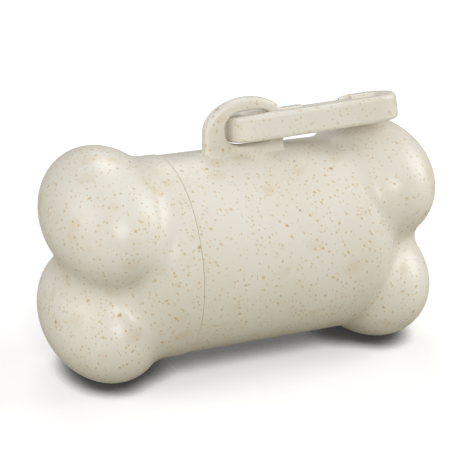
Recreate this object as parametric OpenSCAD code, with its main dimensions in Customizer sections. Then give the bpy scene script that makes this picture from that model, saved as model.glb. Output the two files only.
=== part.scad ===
// Bone-shaped dispenser for a roll of dog waste bags, moulded in
// speckled plastic filled with wheat straw.
// The long axis of the bone is X: the screw cap is at -X and the closed
// end at +X. The bone stands on its two lower knobs, on Z = 0, and the
// origin is under its middle. The bags leave by the slot in the back, +Y.

/* [Barrel] */
// Radius of the barrel
barrel_r = 20; // [19.6:0.1:22]
// Half length of the barrel, up to where it has run into the knobs
barrel_half = 29.3; // [29:0.1:31]
// Radius that rounds the barrel's two ends
barrel_round = 10; // [7:0.5:10]
// Least wall round the hollows of the knobs
wall = 2.2; // [1.8:0.1:2.4]
// Wall of the barrel beside the roll
barrel_wall = 2.2; // [1.8:0.1:2.6]
// Distance from the seam to where the barrel's wide bore begins
bore_start = 4.2; // [4:0.1:4.6]
// Length of the barrel's wide bore
bore_len = 31; // [30:0.5:32]

/* [Knobs] */
// Distance from the middle of the bone to the knobs' centres
knob_x = 29.6; // [29:0.1:32]
// How far the knobs' centres lie below and over the barrel's top and bottom
knob_in = 9.3; // [8.6:0.1:9.6]
// Half size of a knob along the bone
knob_rx = 12; // [11.8:0.1:13]
// How far the knobs' sides stand back from the barrel's
knob_back = 1.7; // [0:0.1:2.2]
// Half size of a knob in height
knob_rz = 12.7; // [12.2:0.1:14]
// Radius of the hollow between the barrel and the knobs
barrel_blend = 1.8; // [1.4:0.1:4]
// Radius of the crease between the upper and the lower knob
knob_blend = 5.5; // [4:0.1:7]
// Depth of the flat that each lower knob stands on
foot_depth = 0.3; // [0.2:0.05:0.8]

/* [Cap] */
// Distance from the middle of the bone to the seam of the cap
seam_x = 16.3; // [15:0.1:17]
// How far the cap's rim stands proud of the barrel
rim_proud = 0.25; // [0:0.05:0.5]
// Gap between the cap's rim and the barrel's shoulder
seam_gap = 0.15; // [0.1:0.05:0.3]
// Edge broken off the rim and off the shoulder
edge_break = 0.2; // [0.1:0.05:0.4]
// How far the tightened cap stands turned past the body's knobs
cap_turn = 8; // [0:1:12]
// Wall of the cap's sleeve, which the neck screws into
sleeve_wall = 1.95; // [1.8:0.05:2.1]
// Room between the end of the neck and the bottom of that bore
socket_room = 0.3; // [0.2:0.05:0.6]

/* [Neck and thread] */
// Distance from the neck's wall to the cap's sleeve, which the thread fills
thread_room = 1.3; // [1.2:0.05:1.4]
// Wall of the neck
neck_wall = 1.5; // [1.4:0.05:1.7]
// Length of the neck
neck_len = 7.5; // [7.2:0.1:8]
// Rise of the thread in one turn
pitch = 3.6; // [3.4:0.1:3.8]
// Turns of thread on the neck and in the cap
thread_turns = 1.25; // [1:0.05:1.3]
// Height of a thread ridge
ridge_h = 0.9; // [0.7:0.05:1]
// Width of a thread ridge at its foot
ridge_w = 1.5; // [1.3:0.1:1.6]
// Width of a thread ridge at its tip
ridge_tip = 0.6; // [0.4:0.1:0.8]
// Distance from the shoulder to the middle of the nearest ridge
thread_start = 1.2; // [1.1:0.1:1.4]

/* [Roll] */
// Air round the full roll of bags
roll_room = 0.7; // [0.5:0.1:3]
// Width of the roll: a bag folded in four
roll_len = 50; // [44:0.5:50.5]
// Outer radius of the roll's card core
core_r = 8; // [7:0.1:9]
// Wall of the card core
core_wall = 1.1; // [0.8:0.1:1.4]
// How far the core reaches out of the roll at each end
core_over = 0.2; // [0.1:0.1:0.3]
// Air between the core and the innermost bag
bag_room = 0.2; // [0.1:0.05:0.3]
// Bevel on the roll's edges
roll_bevel = 0.5; // [0.3:0.1:1]
// Air between each end of the roll and the end of its chamber
end_room = 0.5; // [0.5:0.1:0.8]
// Room between the core and the posts that it turns on
post_room = 0.25; // [0.15:0.05:0.4]
// How far the posts reach into the core
post_reach = 3.5; // [2:0.1:5]
// Wall of the hollow posts
post_wall = 1.5; // [1.2:0.1:2]
// Depth of a post's bore past the end of the chamber
post_depth = 8; // [6:0.1:8.4]

/* [Slot] */
// Length of the slot that the bags are pulled out of
slot_len = 28; // [24:0.5:29]
// Height of the slot
slot_h = 5; // [4.6:0.1:6]
// Distance of the slot's middle from the middle of the bone
slot_x = 2.5; // [1:0.5:3]

/* [Eyelet] */
// Width of the eyelet along the bone
eye_w = 18.5; // [17.5:0.1:18.8]
// Height of the eyelet over the barrel
eye_h = 10.85; // [10.4:0.05:11.2]
// Height over the barrel where the eyelet's arch springs
eye_spring = 4.3; // [3.5:0.1:4.8]
// Thickness of the eyelet
eye_t = 3; // [2.8:0.1:3.1]
// Bevel on the eyelet's edges
eye_bevel = 0.6; // [0.4:0.1:0.8]
// Distance of the arch's middle from the middle of the bone
eye_x = 1.25; // [1.1:0.05:1.4]
// Distance from the arch's middle to the eyelet's upright side at +X
eye_side = 8.2; // [8:0.1:8.5]
// Radius of the corner where the arch meets that side
eye_corner = 2; // [1:0.1:2.2]
// Distance of the hole's middle from the middle of the bone
hole_x = 0.75; // [0.6:0.05:0.9]
// Width of the eyelet's hole
hole_w = 11.4; // [11.2:0.1:11.6]
// Height of the eyelet's hole
hole_h = 7.2; // [7:0.1:7.4]
// Radius in the corners of the hole
hole_corner = 3; // [2.5:0.1:3.2]
// Height of the hole's lower edge over the barrel
hole_low = 1.1; // [1:0.05:1.2]

/* [Clip] */
// Thickness of the clip, square to its plane
clip_t = 5.2; // [4.6:0.1:5.3]
// Width of the clip's limb, in its plane
limb_w = 3.7; // [3.4:0.1:3.8]
// Bevel along the limb's edges
limb_bevel = 0.8; // [0.5:0.1:1]
// Outer radius of the bow that runs through the eyelet
small_bow_r = 6.5; // [6.4:0.1:6.8]
// Outer radius of the bow at the other end
big_bow_r = 6; // [5.9:0.1:6.5]
// Distance between the centres of the two bows
bow_gap = 23; // [22:0.1:24]
// Where the underside of the small bow's centre lies, along the bone
clip_x = 3.97; // [3.9:0.01:4]
// The same, across the bone
clip_y = 0.34; // [0.3:0.01:0.4]
// The same, over the barrel
clip_z = 2.16; // [2.1:0.01:2.3]
// Angle that the clip is swung round by, towards the front
clip_yaw = 14.8; // [14:0.1:15]
// Angle that the clip rises by towards its far end
clip_rise = 6.8; // [6.6:0.1:8]
// Angle that the clip's back side hangs down by
clip_lean = 9.2; // [8.5:0.1:9.5]

/* [Gate] */
// Thickness of the far limb's frame where it holds the gate
thin_t = 4.1; // [3.9:0.1:4.4]
// Distance from the pivot, towards the small bow, where it is that thin
thin_before = 3; // [2.6:0.1:3.4]
// Distance from the pivot, towards the latch, where it is that thin
thin_after = 8.8; // [8.4:0.1:9.2]
// Length over which it thickens again
thin_ramp = 2.8; // [2:0.1:3]
// Length of the gap that the gate closes, from its pivot
gate_gap = 11.6; // [10.5:0.1:12]
// Distance of the gate's pivot from the small bow's centre
pivot_u = 8.8; // [8.4:0.1:9]
// Thickness of the gate, square to the clip's plane
gate_t = 3.5; // [3.2:0.1:3.7]
// Thickness of the gate's knuckle, between the two ears
knuckle_t = 2; // [1.8:0.1:2.2]
// Radius of the gate's trunnions
trunnion_r = 1; // [0.8:0.05:1.1]
// Running room round the trunnions
trunnion_room = 0.06; // [0.04:0.01:0.09]
// Depth of the trunnions' ends below the ears' faces
trunnion_sink = 0.3; // [0.2:0.05:0.5]
// Room between the gate and the frame everywhere else
gate_room = 0.3; // [0.25:0.05:0.4]
// Length of the lip that stops the gate from swinging outwards
lap_len = 2.2; // [1.8:0.1:2.6]
// Share of the limb's width that the lip takes
lap_share = 0.42; // [0.35:0.01:0.5]

/* [Hidden] */
$fn = 96;
cream = [0.88, 0.85, 0.76];
film_green = [0.36, 0.52, 0.36];
card_brown = [0.62, 0.5, 0.36];
// Places and half size of the knobs, which go with the barrel
knob_z = barrel_r - knob_in;
knob_ry = barrel_r - knob_back;
// Height of the bone's axis over the face that it stands on
axis_h = knob_z + knob_rz - foot_depth;
// Radii from the barrel inwards: the cap's bore, the neck, the chamber that
// the roll lies in, and the roll
socket_r = barrel_r + rim_proud - sleeve_wall;
neck_r = socket_r - thread_room;
chamber_r = neck_r - neck_wall;
roll_r = chamber_r - roll_room;
chamber_half = roll_len / 2 + end_room;
post_end = chamber_half + post_depth;
// The knobs are hollowed by a capsule that follows them
hollow_r = knob_rx - wall;
hollow_half = knob_ry - knob_rx - wall;
bore_r = barrel_r - barrel_wall;
post_r = core_r - core_wall - post_room;
// Steps of the loft: round the bone, along the flare, over the end
around = 72;
flare_x = 14;
flare_steps = 10;
end_steps = 16;
halvings = 18;
ray_low = 4;
ray_high = 40;
// Steps of the thread, and how far a ridge is sunk into its wall
thread_step = 7.5;
ridge_sink = 0.3;
run_out = 30;
// Sides of the clip's bows, and how far its inner bevels pass its faces
ring_sides = 64;
ring_past = 0.1;
// A length that reaches past the whole part, and one past a face
past_all = 60;
past = 1;
// Angle from the clip's length to the point where a limb leaves a bow
tangent = acos((small_bow_r - big_bow_r) / bow_gap);
limb_v = small_bow_r - limb_w / 2;
knuckle_r = limb_w / 2;
arch_steps = 24;

// The two distances a and b joined with a hollow of radius k
function join_field(a, b, k) =
    max(k, min(a, b)) - norm([max(k - a, 0), max(k - b, 0)]);

// Distance from a round bar along X whose ends are rounded
function barrel_field(p, r) =
    let (dx = abs(p.x) - (barrel_half - barrel_round))
    let (dr = norm([p.y, p.z]) - (r - barrel_round))
    min(max(dx, dr), 0) + norm([max(dx, 0), max(dr, 0)]) - barrel_round;

// Distance from a knob, an ellipsoid above (side 1) or below (side -1)
function knob_field(p, side) =
    let (q = [(p.x - knob_x) / knob_rx, p.y / knob_ry,
              (p.z - side * knob_z) / knob_rz])
    let (slope = norm([q.x / knob_rx, q.y / knob_ry, q.z / knob_rz]))
    norm(q) * (norm(q) - 1) / slope;

// Distance from the right half of the bone, whose barrel has radius r
function bone_field(p, r) =
    let (knobs = join_field(knob_field(p, 1), knob_field(p, -1), knob_blend))
    join_field(barrel_field(p, r), knobs, barrel_blend);

// Distance from o, along d, to the skin of the bone, by halving
function skin(o, d, r, low = ray_low, high = ray_high, n = halvings) =
    let (mid = (low + high) / 2)
    n == 0 ? mid
    : bone_field(o + d * mid, r) < 0 ? skin(o, d, r, mid, high, n - 1)
    : skin(o, d, r, low, mid, n - 1);

// One ring of the skin: rays from o, tipped by tip towards the end
function skin_ring(o, tip, r, less = 0) =
    [for (i = [0 : around - 1])
        let (a = i * 360 / around)
        let (d = [sin(tip), cos(tip) * cos(a), cos(tip) * sin(a)])
        o + d * (skin(o, d, r) - less)];

// Faces between rings that run round the way of travel's right hand
function band_faces(n, rings) =
    [for (k = [0 : rings - 2], i = [0 : n - 1])
        let (a = k * n + i)
        let (b = k * n + (i + 1) % n)
        each [[a, a + n, b + n], [a, b + n, b]]];

// The solid end of the bone, from the plane X = from up to its tip
module bone_end(from, r) {
    start = max(from + 2 * edge_break, flare_x);
    stations = [for (i = [0 : flare_steps])
        start + (knob_x - start) * i / flare_steps];
    rings = concat(
        [skin_ring([from, 0, 0], 0, r, edge_break)],
        [skin_ring([from + edge_break, 0, 0], 0, r)],
        [for (x = stations) skin_ring([x, 0, 0], 0, r)],
        [for (i = [1 : end_steps - 1])
            skin_ring([knob_x, 0, 0], i * 90 / end_steps, r)]);
    count = len(rings) * around;
    last = count - around;
    tip_x = knob_x + skin([knob_x, 0, 0], [1, 0, 0], r);
    polyhedron(
        concat([for (ring = rings) each ring],
               [[from, 0, 0], [tip_x, 0, 0]]),
        concat(
            band_faces(around, len(rings)),
            [for (i = [0 : around - 1])
                [count, i, (i + 1) % around]],
            [for (i = [0 : around - 1])
                [last + i, count + 1, last + (i + 1) % around]]));
}

// A round bar along X
module rod(r, from, to) {
    translate([from, 0, 0])
        rotate([0, 90, 0])
            cylinder(r = r, h = to - from);
}

// The hollows of the two knobs at +X
module knob_hollows() {
    for (side = [-1, 1])
        translate([knob_x, 0, side * knob_z])
            rotate([90, 0, 0]) {
                cylinder(r = hollow_r, h = 2 * hollow_half, center = true);
                for (end = [-1, 1])
                    translate([0, 0, end * hollow_half])
                        sphere(r = hollow_r);
            }
}

// What is open inside the end at +X, round the post for the core
module end_hollow() {
    post_from = chamber_half - post_reach;
    difference() {
        union() {
            rod(chamber_r, 0, chamber_half);
            knob_hollows();
        }
        rod(post_r, post_from, past_all);
    }
    rod(post_r - post_wall, post_from - past, post_end);
}

// The barrel's wide bore, coned at both ends to the chamber's radius
module barrel_bore() {
    from = bore_start - seam_x;
    to = from + bore_len;
    cone = bore_r - chamber_r;
    rotate([0, 90, 0])
        rotate_extrude()
            polygon([[0, from - cone], [chamber_r, from - cone],
                     [bore_r, from], [bore_r, to],
                     [chamber_r, to + cone], [0, to + cone]]);
}

// Everything below the face that the bone stands on
module below_floor() {
    translate([-past_all, -past_all, -axis_h - past_all])
        cube([2 * past_all, 2 * past_all, past_all]);
}

// A thread ridge on a wall of radius r. It rises by rise, outwards or,
// when rise is negative, inwards, and begins at the angle from. At the
// angle a the middle of every ridge of this screw lies at thread_x(a).
function thread_x(a) = -seam_x - thread_start - pitch * (thread_turns - a / 360);

module ridge(r, rise, from) {
    out = sign(rise);
    steps = round(thread_turns * 360 / thread_step);
    rings = [for (i = [0 : steps])
        let (a = i * thread_step)
        let (lift = min(1, 0.5 + min(a, steps * thread_step - a) / run_out))
        let (x = thread_x(a))
        let (foot = r - out * ridge_sink)
        let (tip = r + rise * lift)
        let (outline = out > 0
            ? [[x - ridge_w / 2, foot], [x + ridge_w / 2, foot],
               [x + ridge_tip / 2, tip], [x - ridge_tip / 2, tip]]
            : [[x - ridge_tip / 2, tip], [x + ridge_tip / 2, tip],
               [x + ridge_w / 2, foot], [x - ridge_w / 2, foot]])
        [for (q = outline)
            [q[0], q[1] * cos(a + from), q[1] * sin(a + from)]]];
    n = len(rings[0]);
    last = steps * n;
    polyhedron(
        [for (ring = rings) each ring],
        concat(
            band_faces(n, steps + 1),
            [[for (i = [0 : n - 1]) i]],
            [[for (i = [n - 1 : -1 : 0]) last + i]]));
}

// Outline of the eyelet in its own plane, drawn in by inset: an arch whose
// side at +X is cut upright, with a round corner
module eye_outline(inset) {
    half = eye_w / 2;
    rise = eye_h - eye_spring;
    offset(delta = -inset)
        offset(r = eye_corner)
            offset(delta = -eye_corner)
                intersection() {
                    polygon(concat(
                        [[-half, -wall], [half, -wall]],
                        [for (i = [0 : arch_steps])
                            let (a = i * 180 / arch_steps)
                            [half * cos(a), eye_spring + rise * sin(a)]]));
                    translate([-half, -wall])
                        square([half + eye_side, wall + eye_h]);
                }
}

// A flat outline in X and height, made t thick across the bone
module upright(t) {
    rotate([90, 0, 0])
        linear_extrude(t, center = true)
            children();
}

module eye_hole() {
    w = hole_w / 2 - hole_corner;
    h = hole_h / 2 - hole_corner;
    translate([0, hole_low + hole_h / 2]) {
        square([hole_w, 2 * h], center = true);
        square([2 * w, hole_h], center = true);
        for (x = [-w, w], y = [-h, h])
            translate([x, y])
                circle(r = hole_corner);
    }
}

module eyelet() {
    translate([0, 0, barrel_r])
        difference() {
            translate([eye_x, 0, 0])
                hull() {
                    upright(eye_t)
                        eye_outline(eye_bevel);
                    upright(eye_t - 2 * eye_bevel)
                        eye_outline(0);
                }
            translate([hole_x, 0, 0])
                upright(past_all)
                    eye_hole();
        }
}

// The slot in the back of the barrel
module bag_slot() {
    half = (slot_len - slot_h) / 2;
    translate([slot_x, barrel_r, 0])
        upright(2 * (barrel_r - neck_r + past)) {
            square([2 * half, slot_h], center = true);
            for (end = [-half, half])
                translate([end, 0])
                    circle(r = slot_h / 2);
        }
}

module body_shell() {
    shoulder = -seam_x + seam_gap;
    color(cream)
        translate([0, 0, axis_h])
            difference() {
                union() {
                    difference() {
                        bone_end(shoulder, barrel_r);
                        below_floor();
                    }
                    rod(neck_r, -seam_x - neck_len, shoulder + past);
                    ridge(neck_r, ridge_h, 0);
                    difference() {
                        eyelet();
                        rod(barrel_r - wall / 2, -barrel_r, barrel_r);
                    }
                }
                end_hollow();
                rod(chamber_r, -past_all, past);
                barrel_bore();
                bag_slot();
            }
}

module end_cap() {
    bottom = -seam_x - neck_len - socket_room;
    color(cream)
        translate([0, 0, axis_h]) {
            difference() {
                rotate([cap_turn, 0, 0])
                    mirror([1, 0, 0])
                        difference() {
                            bone_end(seam_x, barrel_r + rim_proud);
                            end_hollow();
                        }
                below_floor();
                rod(socket_r, bottom, 0);
            }
            ridge(socket_r, -ridge_h, 180);
        }
}

// Section of the clip's limb, t thick square to the clip's plane
module limb_section(t) {
    w = limb_w / 2;
    h = t / 2;
    b = limb_bevel;
    polygon([[-w, b - h], [b - w, -h], [w - b, -h], [w, b - h],
             [w, h - b], [w - b, h], [b - w, h], [-w, h - b]]);
}

// Two cones of height h round the bows' centres. They are wider than the
// bows by low at the foot and by high at the top.
module bow_pair(low, high, h) {
    cylinder(r1 = small_bow_r + low, r2 = small_bow_r + high, h = h);
    translate([bow_gap, 0, 0])
        cylinder(r1 = big_bow_r + low, r2 = big_bow_r + high, h = h);
}

// The clip's ring before its gap is cut, bevelled along every edge
module ring_blank() {
    $fn = ring_sides;
    difference() {
        hull() {
            bow_pair(-limb_bevel, -limb_bevel, clip_t);
            translate([0, 0, limb_bevel])
                bow_pair(0, 0, clip_t - 2 * limb_bevel);
        }
        translate([0, 0, -past])
            hull()
                bow_pair(-limb_w, -limb_w, clip_t + 2 * past);
        for (end = [0, 1])
            translate([0, 0, clip_t / 2])
                mirror([0, 0, end])
                    translate([0, 0, -clip_t / 2 - ring_past])
                        hull()
                            bow_pair(limb_bevel + ring_past - limb_w, -limb_w,
                                     limb_bevel + ring_past);
    }
}

// Places a limb, drawn along X with its middle on the axis, on the clip
module on_far_side() {
    rotate([0, 0, tangent - 90])
        translate([0, limb_v, clip_t / 2])
            children();
}

// A straight stretch of limb on that side
module limb(t, from, to) {
    translate([from, 0, 0])
        rotate([90, 0, 90])
            linear_extrude(to - from)
                limb_section(t);
}

// Puts the clip, drawn flat on its underside, where it lies on the bone
module place_clip() {
    translate([clip_x, clip_y, axis_h + barrel_r + clip_z])
        rotate([0, 0, -clip_yaw])
            rotate([0, -clip_rise, 0])
                rotate([-clip_lean, 0, 0])
                    children();
}

// The step of the latch: what the gate's tip gives up to the lip
module lap(extra) {
    edge = limb_w / 2 - lap_share * limb_w - extra;
    translate([pivot_u + gate_gap - lap_len - extra, edge, -clip_t / 2])
        cube([lap_len + extra + past, limb_w, clip_t]);
}

// A block on the limb's axis that is wider than the limb
module limb_block(from, to, t) {
    translate([from, -limb_w, -t / 2])
        cube([to - from, 2 * limb_w, t]);
}

// What is cut from both faces of the far limb, so that it is thin_t thick
// beside the gate and thickens again over a ramp at each end
module limb_thinning() {
    from = pivot_u - thin_before;
    to = pivot_u + thin_after;
    for (face = [0, 1])
        mirror([0, 0, face])
            rotate([90, 0, 0])
                linear_extrude(2 * limb_w, center = true)
                    polygon([[from - thin_ramp, clip_t / 2], [from, thin_t / 2],
                             [to, thin_t / 2], [to + thin_ramp, clip_t / 2],
                             [to + thin_ramp, clip_t / 2 + past],
                             [from - thin_ramp, clip_t / 2 + past]]);
}

// What is cut from the ring for the gate, its knuckle and trunnions
module gate_space() {
    nose = pivot_u + gate_gap;
    slot_t = knuckle_t + 2 * gate_room;
    difference() {
        limb_block(pivot_u, nose, clip_t + past);
        translate([pivot_u, 0, 0])
            cylinder(r = knuckle_r, h = clip_t + 2 * past, center = true);
        lap(0);
    }
    limb_block(pivot_u, pivot_u + 2 * knuckle_r, slot_t);
    translate([pivot_u, 0, 0]) {
        cylinder(r = knuckle_r + gate_room, h = slot_t, center = true);
        cylinder(r = trunnion_r + trunnion_room, h = clip_t + past,
                 center = true);
    }
}

module clip_frame() {
    color(cream)
        place_clip()
            difference() {
                ring_blank();
                on_far_side() {
                    limb_thinning();
                    gate_space();
                }
            }
}

module clip_gate() {
    tip = pivot_u + gate_gap - gate_room;
    color(cream)
        place_clip()
            on_far_side() {
                difference() {
                    limb(gate_t, pivot_u, tip);
                    translate([pivot_u, 0, 0])
                        cylinder(r = knuckle_r + gate_room, h = clip_t,
                                 center = true);
                    lap(gate_room);
                }
                translate([pivot_u, 0, 0]) {
                    cylinder(r = knuckle_r, h = knuckle_t, center = true);
                    translate([0, -knuckle_r, -knuckle_t / 2])
                        cube([2 * knuckle_r, 2 * knuckle_r, knuckle_t]);
                    cylinder(r = trunnion_r, h = thin_t - 2 * trunnion_sink,
                             center = true);
                }
            }
}

// A tube round the bone's axis, with bevelled outer edges
module tube(outer, inner, half, bevel) {
    translate([0, 0, axis_h])
        rotate([0, 90, 0])
            rotate_extrude()
                polygon([[inner, -half], [outer - bevel, -half],
                         [outer, bevel - half], [outer, half - bevel],
                         [outer - bevel, half], [inner, half]]);
}

module roll_core() {
    color(card_brown)
        tube(core_r, core_r - core_wall, roll_len / 2 + core_over, core_over);
}

module bag_roll() {
    color(film_green)
        tube(roll_r, core_r + bag_room, roll_len / 2, roll_bevel);
}

body_shell();
end_cap();
clip_frame();
clip_gate();
roll_core();
bag_roll();
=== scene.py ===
# A bone-shaped dispenser for dog waste bags, moulded in speckled wheat-straw
# plastic, with its carabiner clip. Lengths are in metres, in the frame of the
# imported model: X runs along the bone, with the screw cap at -X, and the bone
# stands on Z = 0. The bags leave at the back, +Y.

import math

import bmesh
import bpy
import numpy as np
from mathutils import Matrix


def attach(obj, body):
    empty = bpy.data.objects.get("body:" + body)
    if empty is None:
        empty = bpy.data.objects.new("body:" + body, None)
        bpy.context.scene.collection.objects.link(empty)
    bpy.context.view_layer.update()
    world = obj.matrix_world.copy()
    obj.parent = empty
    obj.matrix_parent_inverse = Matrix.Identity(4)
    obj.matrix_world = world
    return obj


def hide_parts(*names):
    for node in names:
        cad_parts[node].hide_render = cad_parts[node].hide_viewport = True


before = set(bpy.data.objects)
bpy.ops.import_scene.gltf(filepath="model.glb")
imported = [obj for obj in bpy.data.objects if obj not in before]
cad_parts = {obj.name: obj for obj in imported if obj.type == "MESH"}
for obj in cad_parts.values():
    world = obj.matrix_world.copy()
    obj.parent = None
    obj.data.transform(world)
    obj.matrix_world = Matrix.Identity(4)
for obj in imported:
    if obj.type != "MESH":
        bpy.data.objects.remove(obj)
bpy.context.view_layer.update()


# ---- The studio --------------------------------------------------------------
# The bone stands on a white table in front of white. Three large soft boxes
# light it from the front, the left and the right, a weak one from behind, and
# white walls fill in.

# The middle of the bone's axis, which the camera and the lamps are aimed at
middle = np.array([0.0, 0.0, 0.0231])

# The camera: its turn round the bone, its height over it, its tilt, its
# distance, and how far off the image's middle the bone stands
view_turn = math.radians(-24.5)
view_rise = math.radians(20.39)
view_tilt = math.radians(0.70)
view_distance = 0.30726
image_side = 470
focal_pixels = 1501.79
middle_right = 3.91
middle_low = 8.77
sensor = 36.0
nearest_seen = 0.01


def aimed_from(turn, rise):
    """Directions from the bone back to a camera, rightwards and upwards in its
    image: back is the turn round Z and the rise over the floor, right is level
    and square to it, and up is square to both."""
    back = np.array([math.sin(turn) * math.cos(rise),
                     -math.cos(turn) * math.cos(rise), math.sin(rise)])
    right = np.cross([0.0, 0.0, 1.0], back)
    right = right / np.linalg.norm(right)
    return back, right, np.cross(back, right)


back, right, up = aimed_from(view_turn, view_rise)
tilt_right = math.cos(view_tilt) * right + math.sin(view_tilt) * up
tilt_up = math.cos(view_tilt) * up - math.sin(view_tilt) * right
eye = (middle + view_distance * back
       - tilt_right * middle_right / focal_pixels * view_distance
       + tilt_up * middle_low / focal_pixels * view_distance)

camera_data = bpy.data.cameras.new("photo_camera")
camera_data.sensor_width = sensor
camera_data.lens = focal_pixels / image_side * sensor
camera_data.clip_start = nearest_seen
camera = bpy.data.objects.new("photo_camera", camera_data)
camera.matrix_world = Matrix.Translation(eye) @ Matrix(
    np.column_stack([tilt_right, tilt_up, back])).to_4x4()
bpy.context.scene.collection.objects.link(camera)
bpy.context.scene.camera = camera


def soft_box(name, turn, rise, distance, side, watts):
    """A square lamp at a turn and rise round the bone, in degrees, facing it."""
    out, across, over = aimed_from(math.radians(turn), math.radians(rise))
    lamp_data = bpy.data.lights.new(name, "AREA")
    lamp_data.shape = "RECTANGLE"
    lamp_data.size = side
    lamp_data.size_y = side
    lamp_data.energy = watts
    lamp = bpy.data.objects.new(name, lamp_data)
    lamp.matrix_world = Matrix.Translation(middle + distance * out) @ Matrix(
        np.column_stack([across, over, out])).to_4x4()
    bpy.context.scene.collection.objects.link(lamp)


soft_box("front_box", turn=-18, rise=29, distance=0.85, side=0.32, watts=3.15)
soft_box("left_box", turn=-95, rise=30, distance=0.80, side=0.50, watts=2.1)
soft_box("right_box", turn=80, rise=30, distance=0.80, side=0.50, watts=3.3)
soft_box("back_box", turn=165, rise=50, distance=0.90, side=0.28, watts=1.4)

bpy.context.scene.view_settings.view_transform = "Standard"

# The white room: it is seen as plain white, and lights the bone less than that
room_white = (1, 1, 1, 1)
room_seen = 1.0
room_light = 0.27
room = bpy.data.worlds.new("white_room")
bpy.context.scene.world = room
room.use_nodes = True
room_nodes = room.node_tree.nodes
room_links = room.node_tree.links
room_nodes.clear()
seen = room_nodes.new("ShaderNodeBackground")
seen.inputs["Color"].default_value = room_white
seen.inputs["Strength"].default_value = room_seen
lighting = room_nodes.new("ShaderNodeBackground")
lighting.inputs["Color"].default_value = room_white
lighting.inputs["Strength"].default_value = room_light
ray = room_nodes.new("ShaderNodeLightPath")
choose = room_nodes.new("ShaderNodeMixShader")
room_out = room_nodes.new("ShaderNodeOutputWorld")
room_links.new(ray.outputs["Is Camera Ray"], choose.inputs["Fac"])
room_links.new(lighting.outputs[0], choose.inputs[1])
room_links.new(seen.outputs[0], choose.inputs[2])
room_links.new(choose.outputs[0], room_out.inputs["Surface"])


def flat_sheet(name, side):
    """A square of the floor, side long, with its middle under the bone."""
    half = side / 2
    sheet_mesh = bpy.data.meshes.new(name)
    sheet_mesh.from_pydata([(-half, -half, 0), (half, -half, 0), (half, half, 0),
                            (-half, half, 0)], [], [(0, 1, 2, 3)])
    sheet_object = bpy.data.objects.new(name, sheet_mesh)
    bpy.context.scene.collection.objects.link(sheet_object)
    return sheet_object


table_side = 6.0
table_top = flat_sheet("table_top", table_side)

# The white table: a matt sheet that keeps the shadow. It throws a dim, warm
# light back at the bone. To the camera it carries painted shade: its colour is
# painted dark close under the bone, by an occlusion measure within a short
# reach, and its glow, which lifts it to white in the open and more so far off,
# is dimmed there by the same painted shade. Each range holds two values that go
# in and the two that come out for them.
table_bounce = (0.47, 0.45, 0.37, 1)
shade_reach = 0.006
occlusion_to_painted_shade = (0.24, 0.60, 0.06, 0.70)
distance_to_lift = (0.10, 0.45, 0.56, 1.45)
table_white = bpy.data.materials.new("table_white")
table_white.use_nodes = True
table_nodes = table_white.node_tree.nodes
table_links = table_white.node_tree.links
matt = table_nodes["Principled BSDF"]
matt.inputs["Roughness"].default_value = 0.9
matt.inputs["Specular IOR Level"].default_value = 0.0
table_ray = table_nodes.new("ShaderNodeLightPath")
table_shade = table_nodes.new("ShaderNodeMix")
table_shade.data_type = "RGBA"
table_shade.inputs["A"].default_value = table_bounce
# Painted shade: the colour and glow that the camera sees on the table are darkened
# where the bone is close
table_open = table_nodes.new("ShaderNodeAmbientOcclusion")
table_open.inputs["Distance"].default_value = shade_reach
table_painted_shade = table_nodes.new("ShaderNodeMapRange")
table_far = table_nodes.new("ShaderNodeMapRange")
for label, tone_value, far_value in zip(("From Min", "From Max", "To Min", "To Max"),
                                        occlusion_to_painted_shade, distance_to_lift):
    table_painted_shade.inputs[label].default_value = tone_value
    table_far.inputs[label].default_value = far_value
table_links.new(table_open.outputs["AO"], table_painted_shade.inputs["Value"])
table_links.new(table_painted_shade.outputs["Result"], table_shade.inputs["B"])
table_links.new(table_ray.outputs["Is Camera Ray"], table_shade.inputs["Factor"])
table_links.new(table_shade.outputs["Result"], matt.inputs["Base Color"])
table_place = table_nodes.new("ShaderNodeTexCoord")
table_away = table_nodes.new("ShaderNodeVectorMath")
table_away.operation = "LENGTH"
table_links.new(table_place.outputs["Object"], table_away.inputs[0])
table_links.new(table_away.outputs["Value"], table_far.inputs["Value"])
table_lift = table_nodes.new("ShaderNodeMath")
table_lift.operation = "MULTIPLY"
table_seen = table_nodes.new("ShaderNodeMath")
table_seen.operation = "MULTIPLY"
table_links.new(table_painted_shade.outputs["Result"], table_lift.inputs[0])
table_links.new(table_far.outputs["Result"], table_lift.inputs[1])
table_links.new(table_lift.outputs[0], table_seen.inputs[0])
table_links.new(table_ray.outputs["Is Camera Ray"], table_seen.inputs[1])
table_links.new(table_seen.outputs[0], matt.inputs["Emission Strength"])
matt.inputs["Emission Color"].default_value = room_white
table_top.data.materials.append(table_white)


# ---- The body ----------------------------------------------------------------
# The barrel and the two knobs of the closed end: one moulding of wheat-straw
# plastic, with a threaded neck for the cap and a slot in the back for the bags.
# The barrel is hollow; inside the knobs, out of sight, this surface is solid.

axis_h = 0.0231
barrel_r = 0.0200
barrel_half = 0.0293
barrel_round = 0.0100
knob_x = 0.0296
knob_z = 0.0107
knob_half_x = 0.0120
knob_half_y = 0.0183
knob_half_z = 0.0127
barrel_blend = 0.0018
knob_blend = 0.0055
columns = 240
neck_steps, lead_steps, skin_steps, tip_steps = 60, 5, 30, 58
ray_from, ray_to = 0.004, 0.040
ray_halvings = 34
least_slope = 1e-9
merged_within = 2e-6
no_length = 1e-7


def joined(a, b, radius):
    """Two distances a and b joined with a hollow of that radius: the larger of
    the radius and the lesser distance, less the length of the two amounts by
    which a and b fall short of the radius."""
    short = np.hypot(np.maximum(radius - a, 0), np.maximum(radius - b, 0))
    return np.maximum(radius, np.minimum(a, b)) - short


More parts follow.
